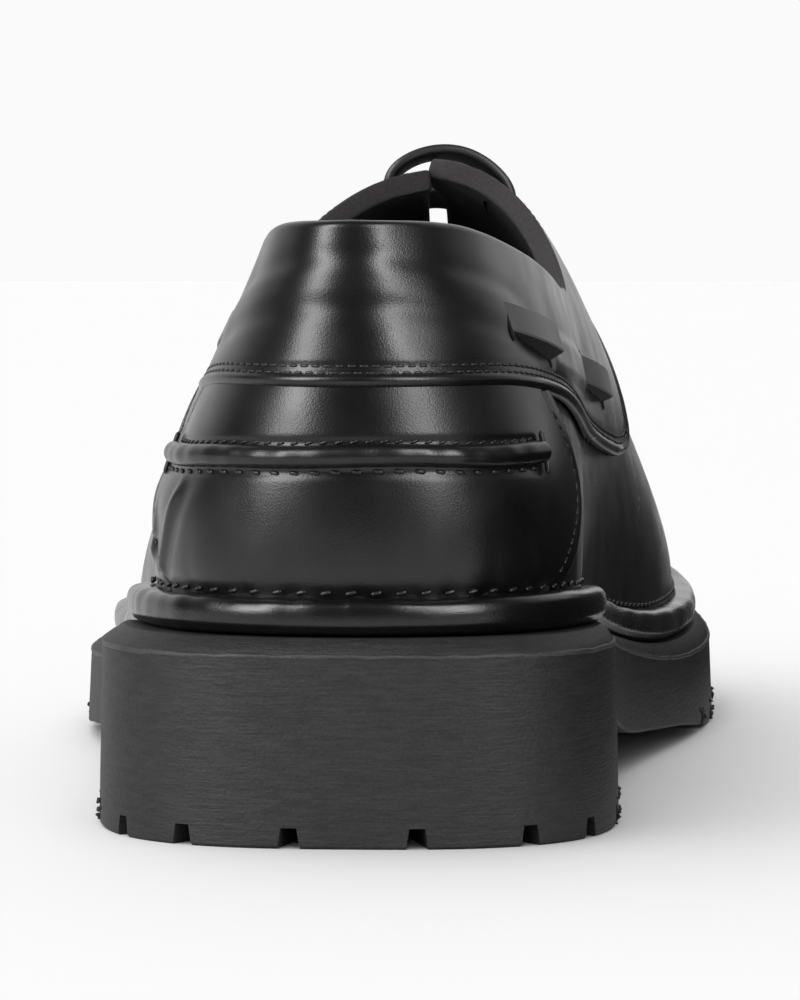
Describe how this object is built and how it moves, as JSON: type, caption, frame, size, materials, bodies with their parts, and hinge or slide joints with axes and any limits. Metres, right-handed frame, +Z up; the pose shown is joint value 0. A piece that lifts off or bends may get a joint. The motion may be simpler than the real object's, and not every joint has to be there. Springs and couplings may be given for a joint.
{
  "type": "derby shoe",
  "caption": "Black leather derby shoe for the left foot, with a raised heel seam, a laced collar, a rolled welt and a thick lugged rubber sole with a tall heel.",
  "frame": {"origin": "centre of the sole's outline, on the floor", "axes": "+Z up from the tread, +Y from the heel to the toe, +X towards the inner side of the left foot"},
  "size_m": [0.1174, 0.3026, 0.1091],
  "materials": {
    "leather": "smooth semi-gloss",
    "lining": "matt",
    "lace": "satin",
    "rubber": "matt, buffed"
  },
  "bodies": {
    "root": {"outsole": "rubber", "welt": "leather", "upper": "leather", "insole": "lining", "tongue": "leather", "collar_panel": "leather", "heel_panel": "leather", "heel_seam": "leather", "lace_bar_top": "lace", "lace_bar_low": "lace", "collar_lace_medial_rear": "lace", "collar_lace_medial_front": "lace", "collar_lace_lateral_rear": "lace", "collar_lace_lateral_front": "lace"}
  },
  "joints": []
}
